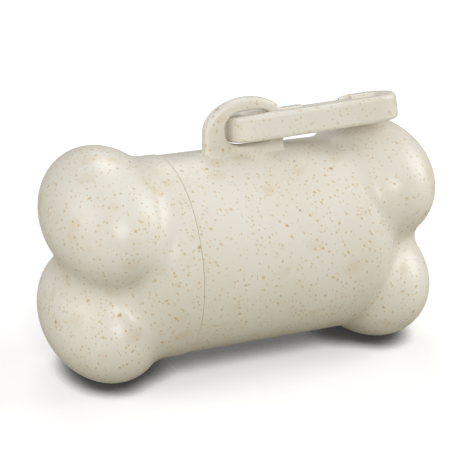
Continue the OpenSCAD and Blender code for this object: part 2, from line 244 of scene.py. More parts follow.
def knob_distance(p, side):
    """About the distance from one knob, an ellipsoid: its scaled radius q times
    q - 1, over the length of its slope."""
    scaled = (p - [knob_x, 0, side * knob_z]) / [knob_half_x, knob_half_y, knob_half_z]
    q = np.linalg.norm(scaled, axis=-1)
    slope = np.linalg.norm(scaled / [knob_half_x, knob_half_y, knob_half_z], axis=-1)
    return q * (q - 1) / np.maximum(slope, least_slope)


def bone_distance(p, radius):
    """About the distance from the bone's right half: a round bar with rounded
    ends, joined with the pair of knobs, which are joined to each other."""
    along = np.abs(p[..., 0]) - (barrel_half - barrel_round)
    across = np.hypot(p[..., 1], p[..., 2]) - (radius - barrel_round)
    bar = (np.minimum(np.maximum(along, across), 0)
           + np.hypot(np.maximum(along, 0), np.maximum(across, 0)) - barrel_round)
    knobs = joined(knob_distance(p, 1), knob_distance(p, -1), knob_blend)
    return joined(bar, knobs, barrel_blend)


def edge_reach(is_inside, shape, near, far, halvings):
    """How far out a shape's edge lies, by halving the stretch from near to far
    that it must lie in. is_inside tells it for an array of reaches."""
    near, far = np.full(shape, near), np.full(shape, far)
    for _ in range(halvings):
        half_way = (near + far) / 2
        inside = is_inside(half_way)
        near = np.where(inside, half_way, near)
        far = np.where(inside, far, half_way)
    return near


def bone_skin(origin, way, radius):
    """Where each ray from origin along way leaves the bone."""
    reach = edge_reach(
        lambda out: bone_distance(origin + way * out[..., None], radius) < 0,
        way.shape[:-1], ray_from, ray_to, ray_halvings)
    return origin + way * reach[..., None]


def round_bone(opening=0.0):
    """Angles round the bone from its back, +Y, with a share of the turn left
    open at the back: opening is half of that, one value for each row."""
    share = np.linspace(0, 1, columns + 1)
    opening = np.atleast_1d(opening)[:, None]
    return opening + (2 * np.pi - 2 * opening) * share


def turned_rows(along, radius, opening=0.0):
    """Rows of points round the bone's axis: each row at its own place along
    the bone, and at a radius given for each row or for each point."""
    along = np.asarray(along, float)[:, None]
    radius = np.asarray(radius, float)
    radius = radius[:, None] if radius.ndim == 1 else radius
    angle = round_bone(opening) + 0 * along
    return np.stack([along + 0 * angle, radius * np.cos(angle),
                     radius * np.sin(angle)], axis=-1)


def skin_rows(along, radius, opening=0.0):
    """Rows of points on the bone's skin, by rays square to its axis."""
    along = np.asarray(along, float)[:, None]
    angle = round_bone(opening) + 0 * along
    way = np.stack([0 * angle, np.cos(angle), np.sin(angle)], axis=-1)
    origin = np.stack([along + 0 * angle, 0 * angle, 0 * angle], axis=-1)
    return bone_skin(origin, way, radius)


def tip_rows(count, radius):
    """Rows over the bone's end: rays from the plane of the knobs' centres that
    tip step by step towards the end, and close on the axis."""
    tip = np.linspace(0, np.pi / 2, count + 1)[1:, None]
    angle = round_bone() + 0 * tip
    way = np.stack([np.sin(tip) + 0 * angle, np.cos(tip) * np.cos(angle),
                    np.cos(tip) * np.sin(angle)], axis=-1)
    return bone_skin(np.array([knob_x, 0, 0]), way, radius)


def on_its_feet(points):
    """Lifts the points to the bone's height, and flattens what is below the
    face that it stands on."""
    placed = points + [0, 0, axis_h]
    placed[..., 2] = np.maximum(placed[..., 2], 0)
    return placed


def sheet_faces(rows, columns_in, first):
    """Corners of the squares of a grid, the first point being number first."""
    number = first + np.arange(rows * columns_in).reshape(rows, columns_in)
    return np.stack([number[:-1, :-1], number[:-1, 1:], number[1:, 1:],
                     number[1:, :-1]], axis=-1).reshape(-1, 4)


def moulded_piece(name, grids, body, nodes, crease):
    """One mesh of several grids of points, closed by merging the points that
    meet, with its faces turned outwards. Edges sharper than crease, in degrees,
    stay crisp. It rides on the body and stands for the CAD nodes, if any."""
    points = np.concatenate([g.reshape(-1, 3) for g in grids])
    firsts = np.cumsum([0] + [g.shape[0] * g.shape[1] for g in grids])
    faces = np.concatenate([sheet_faces(g.shape[0], g.shape[1], first)
                            for g, first in zip(grids, firsts)])
    mesh = bpy.data.meshes.new(name)
    mesh.from_pydata(points.tolist(), [], faces.tolist())
    shell = bmesh.new()
    shell.from_mesh(mesh)
    bmesh.ops.remove_doubles(shell, verts=shell.verts, dist=merged_within)
    bmesh.ops.dissolve_degenerate(shell, edges=shell.edges, dist=no_length)
    bmesh.ops.recalc_face_normals(shell, faces=shell.faces)
    shell.to_mesh(mesh)
    shell.free()
    mesh.shade_smooth()
    mesh.set_sharp_from_angle(angle=math.radians(crease))
    piece = bpy.data.objects.new(name, mesh)
    bpy.context.scene.collection.objects.link(piece)
    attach(piece, body)
    if nodes:
        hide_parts(*nodes)
    return piece


def rounded(corners, radius, steps=5, most=0.45):
    """A profile with its inner corners rounded: each is cut back by radius, or
    at most by that share of its shorter side, and bridged by a curve with the
    corner as its pole."""
    corners = np.asarray(corners, float)
    profile = [corners[:1]]
    for before, corner, after in zip(corners[:-2], corners[1:-1], corners[2:]):
        back_way, on_way = before - corner, after - corner
        back_len, on_len = np.linalg.norm(back_way), np.linalg.norm(on_way)
        cut = min(radius, most * back_len, most * on_len)
        start = corner + back_way / back_len * cut
        end = corner + on_way / on_len * cut
        t = np.linspace(0, 1, steps)[:, None]
        profile.append((1 - t) ** 2 * start + 2 * t * (1 - t) * corner + t ** 2 * end)
    profile.append(corners[-1:])
    return np.concatenate(profile)


# The screw: one and a quarter turns of thread, which the neck carries outside
# and the cap inside, half a pitch apart
seam_x = 0.0163
seam_gap = 0.00015
neck_r = 0.0170
neck_len = 0.0075
pitch = 0.0036
thread_turns = 1.25
thread_start = 0.0012
ridge_h = 0.0009
ridge_foot = 0.0015
ridge_tip = 0.0006
run_out = 30.0
neck_thread_from = 0.0
screw_land = 0.001


def thread_rise(along, angle, begins):
    """Height of the thread at places along and round the neck: over a helix
    that begins at an angle, a ridge with sloped flanks, which runs out over
    its first and last degrees."""
    whole = 360 * thread_turns
    rise = np.zeros(np.broadcast(along, angle).shape)
    for lap in (0, 360):
        turned = (np.degrees(angle) - begins) % 360 + lap
        centre = -seam_x - thread_start - pitch * (thread_turns - turned / 360)
        flank = ((ridge_foot / 2 - np.abs(along - centre))
                 / (ridge_foot / 2 - ridge_tip / 2))
        ends = np.minimum(turned, whole - turned) / run_out
        rise = np.maximum(rise, ridge_h * np.clip(flank, 0, 1) * np.clip(ends, 0, 1))
    return rise


# The hollow for the roll, and the posts that the roll's core turns on
chamber_r = 0.0155
chamber_half = 0.0255
bore_r = 0.0178
bore_from = -0.0121
bore_to = 0.0189
bore_cone = 0.0023
post_r = 0.00665
post_bore_r = 0.00515
post_from = 0.0220
post_end = 0.0335
end_wall = [(post_end, 0), (post_end, post_bore_r), (post_from, post_bore_r),
            (post_from, post_r), (chamber_half, post_r), (chamber_half, chamber_r)]

# The slot, whose outline is two half rounds joined by straights
slot_x = 0.0025
slot_straight = 0.0115
slot_half_h = 0.0025
slot_edge = 0.0004
tip_angles, flat_steps = 15, 47
slot_turn = np.linspace(0, np.pi / 2, tip_angles)[:-1]


def slot_stations(spread):
    """Along and half high: the slot's outline from its left tip to its right
    one, drawn outwards by spread. The half rounds go by equal angles and the
    straights by equal lengths."""
    reach = slot_half_h + spread
    left = slot_x - slot_straight - reach * np.cos(slot_turn)
    flat = slot_x + np.linspace(-slot_straight, slot_straight, flat_steps)
    along = np.concatenate([left, flat, 2 * slot_x - left[::-1]])
    past_straight = np.maximum(np.abs(along - slot_x) - slot_straight, 0)
    return along, np.sqrt(np.maximum(reach ** 2 - past_straight ** 2, 0))


slot_along, slot_high = slot_stations(slot_edge)
edge_break = 0.0002
neck_break = 0.0005
bore_break = 0.0003
shoulder_x = -seam_x + seam_gap
flare_x = 0.0172
neck_end = -seam_x - neck_len

neck_inside = rounded(end_wall + [(bore_to + bore_cone, chamber_r), (bore_to, bore_r),
                                  (slot_along[-1], bore_r)], bore_break)
neck_mouth = rounded([(slot_along[0], bore_r), (bore_from, bore_r),
                      (bore_from - bore_cone, chamber_r), (neck_end, chamber_r),
                      (neck_end, neck_r), (neck_end + screw_land, neck_r)],
                     neck_break)
neck_along = np.linspace(neck_end + screw_land, shoulder_x, neck_steps)
shoulder = rounded([(shoulder_x, neck_r), (shoulder_x, barrel_r),
                    (shoulder_x + screw_land, barrel_r)], edge_break)
neck_angle = round_bone() + 0 * neck_along[:, None]
neck_rise = thread_rise(neck_along[:, None], neck_angle, neck_thread_from)

body_rows = np.concatenate([
    turned_rows(neck_inside[:, 0], neck_inside[:, 1]),
    turned_rows(slot_along[::-1], np.full(slot_along.size, bore_r),
                np.arcsin(slot_high[::-1] / bore_r)),
    turned_rows(neck_mouth[:, 0], neck_mouth[:, 1]),
    turned_rows(neck_along, neck_r + neck_rise),
    turned_rows(shoulder[:, 0], shoulder[:, 1]),
    turned_rows(np.linspace(shoulder_x + screw_land, slot_along[0], lead_steps),
                np.full(lead_steps, barrel_r)),
    skin_rows(slot_along, barrel_r, np.arcsin(slot_high / barrel_r)),
    skin_rows(np.linspace(flare_x, knob_x, skin_steps), barrel_r),
    tip_rows(tip_steps, barrel_r)])


def slot_wall(inner_r, outer_r, steps=5):
    """The slot's wall with both its edges rounded: round its outline one way
    and through the barrel's wall the other."""
    bend = np.linspace(0, np.pi / 2, steps)
    spread = slot_edge * (1 - np.sin(bend))
    depth = np.concatenate([outer_r - slot_edge * (1 - np.cos(bend)),
                            (inner_r + slot_edge * (1 - np.cos(bend)))[::-1]])
    wall = []
    for out, radius in zip(np.concatenate([spread, spread[::-1]]), depth):
        along, high = slot_stations(out)
        along = np.concatenate([along, along[::-1]])
        high = np.concatenate([high, -high[::-1]])
        wall.append(np.stack([along, np.sqrt(radius ** 2 - high ** 2), high], axis=-1))
    return np.stack(wall)


bone_body = moulded_piece(
    "bone_body", [on_its_feet(body_rows), on_its_feet(slot_wall(bore_r, barrel_r))],
    "body", ["body_shell"], crease=24.0)


# ---- The plastic -------------------------------------------------------------
# Natural plastic filled with ground wheat straw: a warm cream with a satin
# skin, strewn with specks of husk from pale tan to dark brown. Every moulding
# of the dispenser is made of it.

straw_cream = (0.800, 0.765, 0.685, 1)
straw_shade = (0.745, 0.692, 0.565, 1)
husk_tan = (0.600, 0.430, 0.150, 1)
husk_ochre = (0.560, 0.340, 0.060, 1)
husk_brown = (0.260, 0.145, 0.060, 1)
ragged_by = (0.0002, 0.0002, 0.0002)
speck_inputs = ("Cell", "Size", "Share", "Softness", "Lean", "Stretch")
speck_height = 0.00008
plastic_ior = 1.47
grain_least, grain_spread = 0.4, 0.75
shade_start, shade_gain = -0.55, 1.6
satin_least, satin_fine, satin_husk = 0.31, 0.10, 0.15
rise_drift, rise_fine, rise_husk = 0.5, 0.35, -0.25


def new_group(name, numbers_in, outputs):
    """An empty shader node group with plain number inputs and the outputs
    given as pairs of name and kind, with its input and output nodes."""
    group = bpy.data.node_groups.new(name, "ShaderNodeTree")
    for label in numbers_in:
        group.interface.new_socket(label, in_out="INPUT", socket_type="NodeSocketFloat")
    for label, kind in outputs:
        group.interface.new_socket(label, in_out="OUTPUT", socket_type=kind)
    return group, group.nodes.new("NodeGroupInput"), group.nodes.new("NodeGroupOutput")


def math_node(tree, operation, a, b=0.0, c=0.0, clamp=False):
    """A Math node fed with numbers or with other nodes' sockets."""
    node = tree.nodes.new("ShaderNodeMath")
    node.operation = operation
    node.use_clamp = clamp
    for socket, value in zip(node.inputs, (a, b, c)):
        if isinstance(value, (int, float)):
            socket.default_value = value
        else:
            tree.links.new(value, socket)
    return node.outputs[0]


def colour_mix(tree, first, second, share):
    """A Mix node from the first colour to the second by share. Each is a value
    or another node's socket."""
    node = tree.nodes.new("ShaderNodeMix")
    node.data_type = "RGBA"
    for label, value in (("A", first), ("B", second), ("Factor", share)):
        if isinstance(value, tuple):
            node.inputs[label].default_value = value
        else:
            tree.links.new(value, node.inputs[label])
    return node.outputs["Result"]


def build_specks():
    """Specks of husk: every cell of a 3D Voronoi pattern holds one grain at its
    middle. A random value of the cell says whether it shows and how large it
    is, and noise bends its outline. Stretch draws the grains out into fibres."""
    group, entry, leave = new_group(
        "husk_specks", speck_inputs,
        [("Mask", "NodeSocketFloat"), ("Tone", "NodeSocketFloat")])
    make = group.nodes.new
    link = group.links.new
    place = make("ShaderNodeTexCoord")
    ragged = make("ShaderNodeTexNoise")
    ragged.inputs["Scale"].default_value = 2600
    ragged.inputs["Detail"].default_value = 2
    link(place.outputs["Object"], ragged.inputs["Vector"])
    bend = make("ShaderNodeVectorMath")
    bend.operation = "MULTIPLY_ADD"
    bend.inputs[1].default_value = ragged_by
    link(ragged.outputs["Color"], bend.inputs[0])
    link(place.outputs["Object"], bend.inputs[2])
    turn = make("ShaderNodeVectorRotate")
    turn.rotation_type = "AXIS_ANGLE"
    turn.inputs["Axis"].default_value = (0.3, 0.8, 0.5)
    link(entry.outputs["Lean"], turn.inputs["Angle"])
    link(bend.outputs[0], turn.inputs["Vector"])
    draw_out = make("ShaderNodeCombineXYZ")
    link(math_node(group, "DIVIDE", 1.0, entry.outputs["Stretch"]), draw_out.inputs[0])
    draw_out.inputs[1].default_value = 1.0
    draw_out.inputs[2].default_value = 1.0
    drawn = make("ShaderNodeVectorMath")
    drawn.operation = "MULTIPLY"
    link(turn.outputs[0], drawn.inputs[0])
    link(draw_out.outputs[0], drawn.inputs[1])
    cells = make("ShaderNodeTexVoronoi")
    link(drawn.outputs[0], cells.inputs["Vector"])
    link(math_node(group, "DIVIDE", 1.0, entry.outputs["Cell"]), cells.inputs["Scale"])
    chance = make("ShaderNodeSeparateColor")
    link(cells.outputs["Color"], chance.inputs[0])
    shown = math_node(group, "LESS_THAN", chance.outputs[0], entry.outputs["Share"])
    grain = math_node(group, "MULTIPLY_ADD", chance.outputs[1],
                      grain_spread, grain_least)
    reach = math_node(group, "MULTIPLY", grain, entry.outputs["Size"])
    inside = math_node(group, "SUBTRACT", reach, cells.outputs["Distance"])
    fade = math_node(group, "MULTIPLY", reach, entry.outputs["Softness"])
    edge = math_node(group, "DIVIDE", inside, fade, clamp=True)
    link(math_node(group, "MULTIPLY", edge, shown), leave.inputs["Mask"])
    link(chance.outputs[2], leave.inputs["Tone"])
    return group


def build_straw():
    """The plastic's own colour and height: cream that drifts a little in tone,
    with four layers of specks, from fine dust to soft patches of husk."""
    group, entry, leave = new_group(
        "straw_grain", ["Speckle"],
        [("Color", "NodeSocketColor"), ("Roughness", "NodeSocketFloat"),
         ("Height", "NodeSocketFloat")])
    make = group.nodes.new
    link = group.links.new
    place = make("ShaderNodeTexCoord")
    drift = make("ShaderNodeTexNoise")
    drift.inputs["Scale"].default_value = 85
    drift.inputs["Detail"].default_value = 4
    link(place.outputs["Object"], drift.inputs["Vector"])
    spread = math_node(group, "MULTIPLY_ADD", drift.outputs["Fac"],
                       shade_gain, shade_start, True)
    colour = colour_mix(group, straw_cream, straw_shade, spread)
    husk = 0.0
    layers = [
        # cell, size, share, softness, lean, stretch, strength, first, second
        (0.0044, 0.46, 0.70, 0.95, 0.4, 1.3, 0.24, husk_tan, husk_ochre),
        (0.00078, 0.36, 0.80, 0.60, 1.9, 1.3, 0.56, husk_tan, husk_ochre),
        (0.0012, 0.27, 0.65, 0.60, 2.7, 1.5, 0.66, husk_ochre, husk_tan),
        (0.0022, 0.17, 0.40, 0.50, 0.9, 1.8, 0.66, husk_brown, husk_ochre),
    ]
    for *speck_values, strength, first, second in layers:
        specks = make("ShaderNodeGroup")
        specks.node_tree = husk_specks
        for label, value in zip(speck_inputs, speck_values):
            specks.inputs[label].default_value = value
        tone = colour_mix(group, first, second, specks.outputs["Tone"])
        strong = math_node(group, "MULTIPLY", specks.outputs["Mask"], strength)
        cover = math_node(group, "MULTIPLY", strong, entry.outputs["Speckle"])
        colour = colour_mix(group, colour, tone, cover)
        husk = math_node(group, "MAXIMUM", strong, husk)
    link(colour, leave.inputs["Color"])
    fine = make("ShaderNodeTexNoise")
    fine.inputs["Scale"].default_value = 900
    fine.inputs["Detail"].default_value = 3
    link(place.outputs["Object"], fine.inputs["Vector"])
    satin = math_node(group, "MULTIPLY_ADD", fine.outputs["Fac"],
                      satin_fine, satin_least)
    link(math_node(group, "MULTIPLY_ADD", husk, satin_husk, satin),
         leave.inputs["Roughness"])
    skin = math_node(group, "MULTIPLY", drift.outputs["Fac"], rise_drift)
    skin = math_node(group, "MULTIPLY_ADD", fine.outputs["Fac"], rise_fine, skin)
    link(math_node(group, "MULTIPLY_ADD", husk, rise_husk, skin),
         leave.inputs["Height"])
    return group


husk_specks = build_specks()
straw_grain = build_straw()


def straw_plastic(name, speckle, bump):
    """A moulding's finish: the straw grain's colour, roughness and height on a
    satin plastic."""
    finish = bpy.data.materials.new(name)
    finish.use_nodes = True
    tree = finish.node_tree
    plastic = tree.nodes["Principled BSDF"]
    grain = tree.nodes.new("ShaderNodeGroup")
    grain.node_tree = straw_grain
    grain.inputs["Speckle"].default_value = speckle
    relief = tree.nodes.new("ShaderNodeBump")
    relief.inputs["Strength"].default_value = bump
    relief.inputs["Distance"].default_value = speck_height
    tree.links.new(grain.outputs["Color"], plastic.inputs["Base Color"])
    tree.links.new(grain.outputs["Roughness"], plastic.inputs["Roughness"])
    tree.links.new(grain.outputs["Height"], relief.inputs["Height"])
    tree.links.new(relief.outputs["Normal"], plastic.inputs["Normal"])
    plastic.inputs["IOR"].default_value = plastic_ior
    return finish


shell_plastic = straw_plastic("shell_straw_plastic", speckle=1.0, bump=0.5)
bone_body.data.materials.append(shell_plastic)


# ---- The cap -----------------------------------------------------------------
# The left end of the bone, two knobs and a short sleeve, moulded in the same
# plastic. It screws over the neck, and its rim stands a hair proud of the
# barrel. Tightened, its knobs stand turned a little past the body's.

rim_proud = 0.00025
socket_r = 0.0183
socket_bottom = 0.0241
socket_land = 0.0004
rim_land = 0.0003
socket_steps, sleeve_steps = 62, 34
cap_turn = math.radians(8)
cap_thread_from = 180.0
cap_r = barrel_r + rim_proud

socket_floor = rounded(end_wall + [(socket_bottom, chamber_r),
                                   (socket_bottom, socket_r),
                                   (socket_bottom - socket_land, socket_r)],
                       edge_break)
socket_along = np.linspace(socket_bottom - socket_land, seam_x + rim_land,
                           socket_steps)
socket_angle = round_bone() + cap_turn + 0 * socket_along[:, None]
socket_rise = thread_rise(-socket_along[:, None], socket_angle, cap_thread_from)
rim = rounded([(seam_x + rim_land, socket_r), (seam_x, socket_r), (seam_x, cap_r),
               (seam_x + screw_land, cap_r)], edge_break)

cap_rows = np.concatenate([
    turned_rows(socket_floor[:, 0], socket_floor[:, 1]),
    turned_rows(socket_along, socket_r - socket_rise),
    turned_rows(rim[:, 0], rim[:, 1]),
    skin_rows(np.linspace(seam_x + screw_land, knob_x, sleeve_steps), cap_r),
    tip_rows(tip_steps, cap_r)])


def mirrored_and_turned(points, turn):
    """The same end at the bone's left: mirrored across the bone's middle, then
    turned about its axis."""
    across = points[..., 1] * math.cos(turn) - points[..., 2] * math.sin(turn)
    over = points[..., 1] * math.sin(turn) + points[..., 2] * math.cos(turn)
    return np.stack([-points[..., 0], across, over], axis=-1)


screw_cap = moulded_piece(
    "screw_cap", [on_its_feet(mirrored_and_turned(cap_rows, cap_turn))],
    "cap", ["end_cap"], crease=24.0)
screw_cap.data.materials.append(shell_plastic)


# ---- The eyelet --------------------------------------------------------------
# The lug that the clip is threaded through, moulded with the body: a flat arch
# with well rounded edges round a rounded hole. Its right side is cut upright,
# where the clip hides it, and its foot spreads onto the barrel in a fillet.

hole_x = 0.00075
eye_off = 0.0005
eye_half = 0.00925
eye_side = 0.0082
eye_corner = 0.0020
eye_spring = 0.0243
eye_rise = 0.00655
eye_foot = 0.0188
eye_t = 0.0030
eye_edge = 0.0009
foot_spread = 0.0013
hole_half_w = 0.0057
hole_left = 0.0045
hole_power = 2.4
hole_half_h = 0.0036
hole_corner = 0.0030
hole_mid = 0.0247
hole_edge = 0.0008
outline_from, outline_to = 0.0005, 0.0140
outline_halvings = 30
eye_steps = 289


def arch_distance(across, high):
    """Below 0 inside the eyelet's outline: half an ellipse over two straight
    sides, joined with its upright side by a round corner, and cut off at the
    foot."""
    arch = np.hypot((across - eye_off) / eye_half,
                    np.maximum(high - eye_spring, 0) / eye_rise) - 1
    near_arch = np.maximum(arch * eye_rise + eye_corner, 0)
    near_side = np.maximum(across - eye_off - eye_side + eye_corner, 0)
    return np.maximum(np.hypot(near_arch, near_side) - eye_corner, eye_foot - high)


def hole_distance(across, high):
    """Below 0 inside the hole's outline: to the right a rectangle with round
    corners, to the left half a squared ellipse, the power sum of its shares."""
    out_x = across - (hole_half_w - hole_corner)
    out_z = np.abs(high - hole_mid) - (hole_half_h - hole_corner)
    right_half = (np.hypot(np.maximum(out_x, 0), np.maximum(out_z, 0))
                  + np.minimum(np.maximum(out_x, out_z), 0) - hole_corner)
    left_half = (np.abs(across / hole_left) ** hole_power
                 + np.abs((high - hole_mid) / hole_half_h) ** hole_power - 1)
    return np.where(across > 0, right_half, left_half)


def reach_to(distance, angle):
    """How far from the hole's middle an outline lies at each angle."""
    return edge_reach(
        lambda out: distance(out * np.cos(angle), hole_mid + out * np.sin(angle)) < 0,
        angle.shape, outline_from, outline_to, outline_halvings)


def band_section(half_t, edge_in, edge_out, steps=7, face_steps=5):
    """Round a band's section: how far each point is moved outwards from its
    place between the hole and the outline, the share of the way that gives that
    place, and where it lies through the band's thickness."""
    bend = np.linspace(0, np.pi / 2, steps)
    inner = np.stack([edge_in * (1 - np.cos(bend)), 0 * bend,
                      half_t - edge_in + edge_in * np.sin(bend)], axis=-1)
    share = np.linspace(0, 1, face_steps)[1:-1]
    middle_part = np.stack([edge_in * (1 - share) - edge_out * share, share,
                            half_t + 0 * share], axis=-1)
    outer = np.stack([-edge_out * (1 - np.cos(bend)), 1 + 0 * bend,
                      half_t - edge_out + edge_out * np.sin(bend)], axis=-1)[::-1]
    top = np.concatenate([inner, middle_part, outer])
    low = top[::-1] * [1, 1, -1]
    return np.concatenate([top, low, top[:1]])


eye_angle = np.linspace(0, 2 * np.pi, eye_steps)
hole_reach = reach_to(hole_distance, eye_angle)[:, None]
arch_reach = reach_to(arch_distance, eye_angle)[:, None]
section = band_section(eye_t / 2, hole_edge, eye_edge)
eye_reach = hole_reach + (arch_reach - hole_reach) * section[:, 1] + section[:, 0]
eye_high = hole_mid + eye_reach * np.sin(eye_angle)[:, None]
barrel_top = np.sqrt(barrel_r ** 2 - section[:, 2] ** 2)
over_barrel = np.clip(eye_high - barrel_top, 0, foot_spread)
fillet = foot_spread - np.sqrt(foot_spread ** 2 - (foot_spread - over_barrel) ** 2)
eye_rows = np.stack([hole_x + eye_reach * np.cos(eye_angle)[:, None],
                     section[:, 2] * (1 + fillet / (eye_t / 2)), eye_high], axis=-1)

clip_eyelet = moulded_piece("clip_eyelet", [on_its_feet(eye_rows)], "body", [],
                            crease=40.0)
clip_eyelet.data.materials.append(shell_plastic)


# ---- The clip's frame --------------------------------------------------------
# A carabiner moulded in the same plastic: a ring of two straight limbs and two
# bows, open on its far side for the gate. Two ears hold the gate's pivot, and
# a lip at the other end of the gap stops the gate.

clip_half_t = 0.0026
limb_half_w = 0.00185
limb_round = 0.00085
small_bow = 0.0065 - limb_half_w
big_bow = 0.0060 - limb_half_w
bow_gap = 0.0230
clip_place = np.array([0.00397, 0.00034, axis_h + 0.02216])
clip_yaw = math.radians(14.8)
clip_rise = math.radians(6.8)
clip_lean = math.radians(9.2)

pivot_u = 0.0088
gate_gap = 0.0116
knuckle_t = 0.0020
gate_room = 0.0003
lap_len = 0.0022
lap_share = 0.42
lap_v = limb_half_w - lap_share * 2 * limb_half_w
nose_u = pivot_u + gate_gap

leave_angle = math.acos((small_bow - big_bow) / bow_gap)
straight = math.sqrt(bow_gap ** 2 - (small_bow - big_bow) ** 2)
small_arc = small_bow * (2 * math.pi - 2 * leave_angle)
big_arc = big_bow * 2 * leave_angle


def clip_point(along, out, thick):
    """A point of the clip where it lies on the bone. along is measured on the
    ring's centreline from where the far limb meets the small bow, round that
    bow, down the near limb, round the big bow and back, so it is below 0 on the
    far limb's first stretch; out is outwards from the centreline, and thick
    from the clip's middle plane."""
    second = small_arc + straight
    third = second + big_arc
    turn = np.where(
        along < small_arc + straight / 2,
        leave_angle + np.clip(along, 0, small_arc) / small_bow,
        2 * math.pi - leave_angle + np.clip(along - second, 0, big_arc) / big_bow)
    on_small = along < small_arc + straight / 2
    centre = np.where(on_small, 0.0, bow_gap)
    radius = np.where(on_small, small_bow, big_bow) + out
    slide = np.where(on_small, np.minimum(along, 0) + np.maximum(along - small_arc, 0),
                     np.minimum(along - second, 0) + np.maximum(along - third, 0))
    x = centre + radius * np.cos(turn) - slide * np.sin(turn)
    y = radius * np.sin(turn) + slide * np.cos(turn)
    z = thick + clip_half_t
    y, z = (y * math.cos(clip_lean) + z * math.sin(clip_lean),
            -y * math.sin(clip_lean) + z * math.cos(clip_lean))
    x, z = (x * math.cos(clip_rise) - z * math.sin(clip_rise),
            x * math.sin(clip_rise) + z * math.cos(clip_rise))
    x, y = (x * math.cos(clip_yaw) + y * math.sin(clip_yaw),
            -x * math.sin(clip_yaw) + y * math.cos(clip_yaw))
    return np.stack([x, y, z], axis=-1) + clip_place


def fallen_back(distance, radius):
    """How far a rounded edge of that radius falls back, at a distance from the
    edge: the gap between a square corner and a quarter circle."""
    missing = np.clip(radius - distance, 0, radius)
    return radius - np.sqrt(radius ** 2 - missing ** 2)


def edge_spaced(low, high, inner, fine, steps=6):
    """Values from low to high that crowd together within fine of both ends."""
    bend = 1 - np.cos(np.linspace(0, np.pi / 2, steps))
    return np.concatenate([low + fine * bend, np.linspace(low + fine, high - fine,
                                                          inner)[1:-1],
                           (high - fine * bend)[::-1]])


# Beside the gate the far limb is thinner, with a ramp at each end
ear_slot = knuckle_t / 2 + gate_room
thin_half_t = 0.00205
thin_edge = 0.00045
thin_from = pivot_u - 0.0030
thin_to = pivot_u + 0.0088
thin_ramp = 0.0028
ring_end = small_arc + straight + big_arc + straight

# How finely the surface is divided: the points across a side, through a layer,
# through the middle layer, and at a curve, and how near an edge they crowd
side_steps, layer_steps, middle_steps, curve_steps = 10, 5, 7, 24
side_crowd, layer_crowd, middle_crowd = 0.2, 0.45, 0.0003
ring_steps = 90


def thin_share(along):
    """How far the far limb is thinned at a place along the ring, from 0 to 1:
    a smooth step up the one ramp times a smooth step down the other."""
    u = np.where(along < 0, -along, ring_end - along)
    rise = np.clip((u - thin_from + thin_ramp) / thin_ramp, 0, 1)
    fall = np.clip((thin_to + thin_ramp - u) / thin_ramp, 0, 1)
    both = rise * fall
    return both * both * (3 - 2 * both)


def filled_out(thick, share):
    """By how much a layer of the frame gets wider where it is thinned, because
    the rounding of the edges shrinks with it."""
    back = fallen_back(clip_half_t - np.abs(thick), limb_round)
    lost = back * (1 - (1 - thin_edge / limb_round) * share)
    return (limb_half_w - lost) / (limb_half_w - back)


def thinned(along, out, thick):
    """The frame's point once the limb is thinned: what lies beyond the ears'
    slot closes up evenly in thickness, and is filled out in width."""
    share = thin_share(along)
    half_t = clip_half_t + (thin_half_t - clip_half_t) * share
    beyond = np.maximum(np.abs(thick) - ear_slot, 0)
    closed = np.minimum(np.abs(thick), ear_slot) + beyond * (
        (half_t - ear_slot) / (clip_half_t - ear_slot))
    return out * filled_out(thick, share), np.sign(thick) * closed


def limb_grids(half_t, split_t, split_out, stations, way, first_end, last_end,
               settled=lambda along, out, thick: (out, thick)):
    """The closed surface of a bar along the clip's centreline, of half
    thickness half_t. At its first end the layers of its thickness within
    split_t end at one place and those beyond it at another; at its last end its
    inner side, up to split_out, and its outer side do. first_end and last_end
    give that place for the way out, the thickness and whether it is the middle
    layer or the inner side. Rows at the stations are held between the ends, and
    settled gives each point its last place out and through the thickness."""

    def half_width(thick):
        return limb_half_w - fallen_back(half_t - np.abs(thick), limb_round)

    def inner_outs(thick):
        width = half_width(thick)
        return -width + (split_out + width) * shares[:, None]

    def outer_outs(thick):
        return split_out + (half_width(thick) - split_out) * shares[:, None]

    shares = edge_spaced(0, 1, side_steps, side_crowd)
    skin_layer = edge_spaced(split_t, half_t, layer_steps,
                             layer_crowd * (half_t - split_t))
    layers = [(-skin_layer[::-1], False), (skin_layer, False),
              (edge_spaced(-split_t, split_t, middle_steps, middle_crowd), True)]
    sides = [(inner_outs, True), (outer_outs, False)]
    rows = stations[:, None]
    grids = []

    def add(place, low, high, out, thick):
        place = way * np.clip(place, low, high)
        grids.append(clip_point(place, *settled(place, out + 0 * place,
                                                thick + 0 * place)))

    for thick, middle_layer in layers:
        for outs, inner_side in sides:
            out = outs(thick)
            add(first_end(out, thick, middle_layer), -1, 1, out, thick)
            add(last_end(out, thick, inner_side), -1, 1, out, thick)
            edge = outs(thick)[0 if inner_side else -1]
            add(rows, first_end(edge, thick, middle_layer),
                last_end(edge, thick, inner_side), edge, thick)
        ends = last_end(split_out, thick, True), last_end(split_out, thick, False)
        add(rows, np.minimum(*ends), np.maximum(*ends), split_out, thick)
    for face in (-half_t, half_t):
        for outs, inner_side in sides:
            out = outs(np.array([face]))[:, 0]
            add(rows, first_end(out, face, False), last_end(out, face, inner_side),
                out, face)
    for face in (-split_t, split_t):
        for outs, _ in sides:
            out = outs(np.array([face]))[:, 0]
            ends = first_end(out, face, False), first_end(out, face, True)
            add(rows, np.minimum(*ends), np.maximum(*ends), out, face)
    return grids


def crowded(low, high, ends, count):
    """Stations from low to high with count even steps, and finer ones between
    each pair of places in ends. Those that are alike to 7 digits count once."""
    parts = [np.linspace(low, high, count)]
    parts += [np.linspace(start, stop, curve_steps) for start, stop in ends]
    return np.unique(np.concatenate(parts).round(7))


